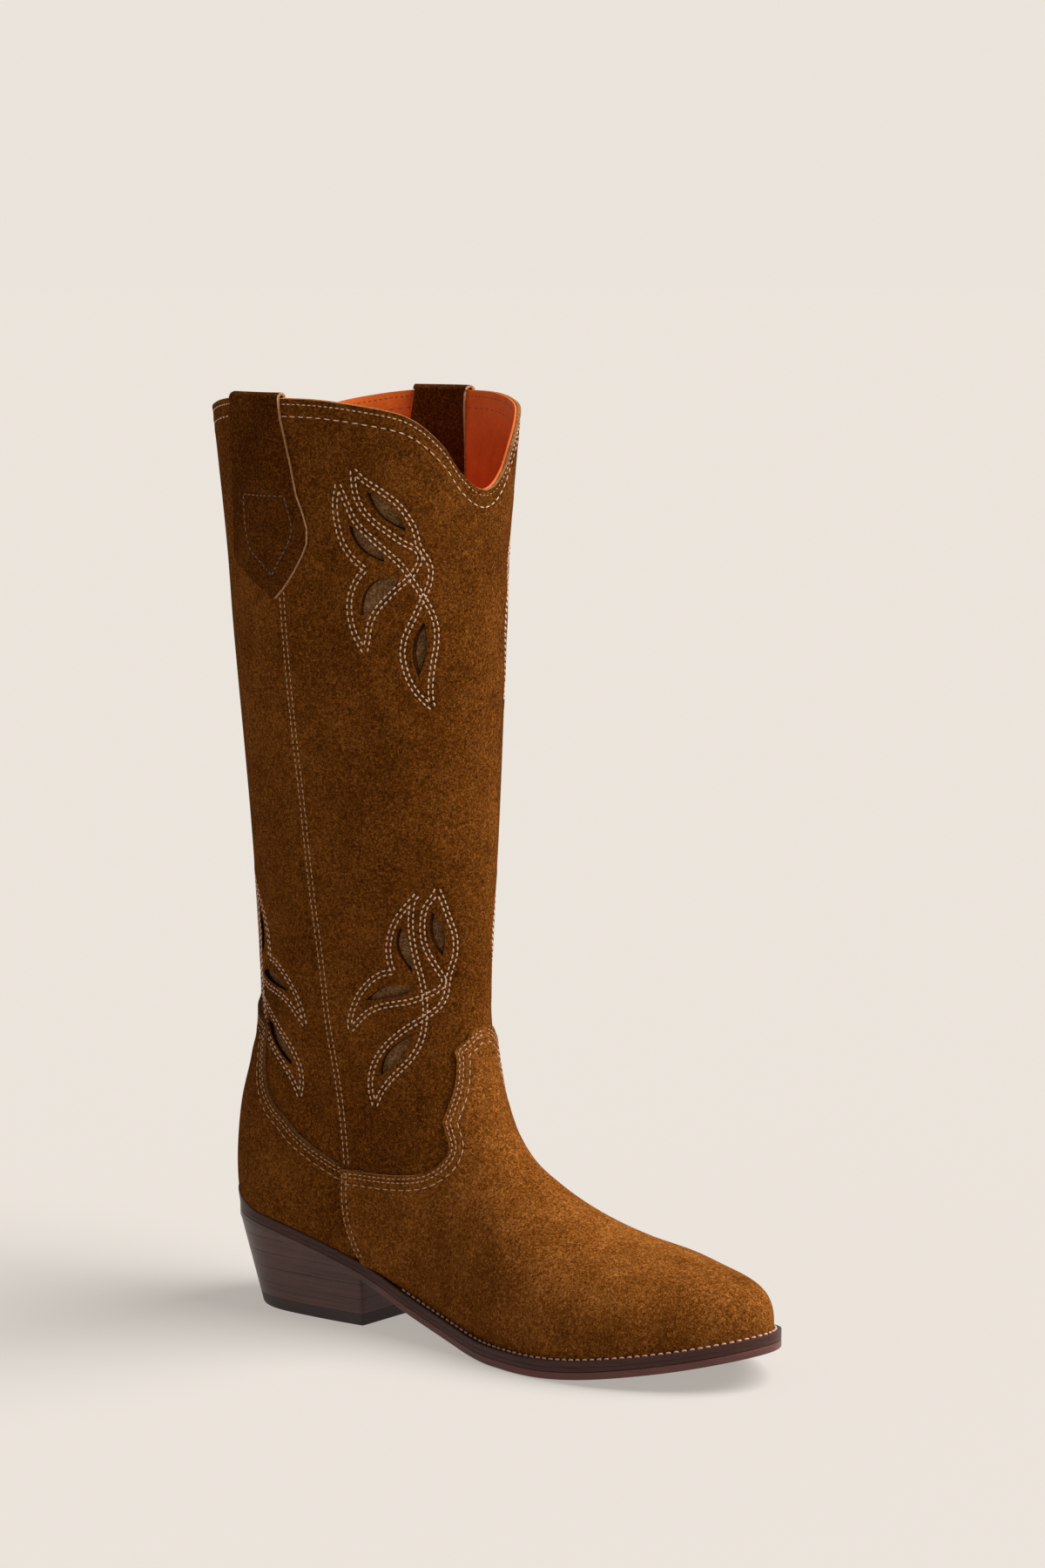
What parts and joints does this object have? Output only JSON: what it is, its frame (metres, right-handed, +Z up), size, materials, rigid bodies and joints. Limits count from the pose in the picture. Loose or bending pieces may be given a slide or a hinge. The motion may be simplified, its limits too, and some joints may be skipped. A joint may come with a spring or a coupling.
{
  "type": "cowboy boot",
  "caption": "Pull-on western boot for the right foot: suede shaft with scalloped top and leaf cut-outs, pull straps, stitched welt and stacked underslung heel.",
  "frame": {"origin": "on the ground, under the middle of the boot's bounding box", "axes": "+Z up the shaft, the toe points along -Y, the outer side of the foot faces -X"},
  "size_m": [0.1284, 0.2766, 0.3945],
  "materials": {
    "suede": "brushed tan brown suede",
    "lining_leather": "smooth orange calf, satin",
    "underlay_suede": "bronze brown suede",
    "stiffener": "stiffened board",
    "insole_leather": "undyed, matt",
    "cork": "pressed cork",
    "welt_leather": "dark oxblood, waxed",
    "sole_leather": "red brown, burnished edge",
    "heel_leather": "dark brown stacked leather, waxed",
    "heel_rubber": "near black, matt",
    "steel": "plain",
    "brass_nail": "plain"
  },
  "bodies": {
    "root": {"counter_cover": "suede", "pull_strap_lateral": "suede", "pull_strap_medial": "suede", "shaft_back_panel": "suede", "shaft_front_panel": "suede", "vamp": "suede", "shaft_back_lining": "lining_leather", "shaft_front_lining": "lining_leather", "sock_lining": "lining_leather", "vamp_lining": "lining_leather", "underlay_back_lateral": "underlay_suede", "underlay_back_medial": "underlay_suede", "underlay_lower_lateral": "underlay_suede", "underlay_lower_medial": "underlay_suede", "underlay_upper_lateral": "underlay_suede", "underlay_upper_medial": "underlay_suede", "heel_stiffener": "stiffener", "toe_stiffener": "stiffener", "vamp_interlining": "stiffener", "insole_board": "insole_leather", "bottom_filler": "cork", "heel_rand": "welt_leather", "welt": "welt_leather", "midsole": "sole_leather", "outsole": "sole_leather", "heel_lift_1": "heel_leather", "heel_lift_2": "heel_leather", "heel_lift_3": "heel_leather", "heel_lift_4": "heel_leather", "heel_lift_5": "heel_leather", "top_lift": "heel_rubber", "heel_screw": "steel", "steel_shank": "steel", "heel_nail_1": "brass_nail", "heel_nail_2": "brass_nail", "heel_nail_3": "brass_nail", "heel_nail_4": "brass_nail", "heel_nail_5": "brass_nail"}
  },
  "joints": []
}
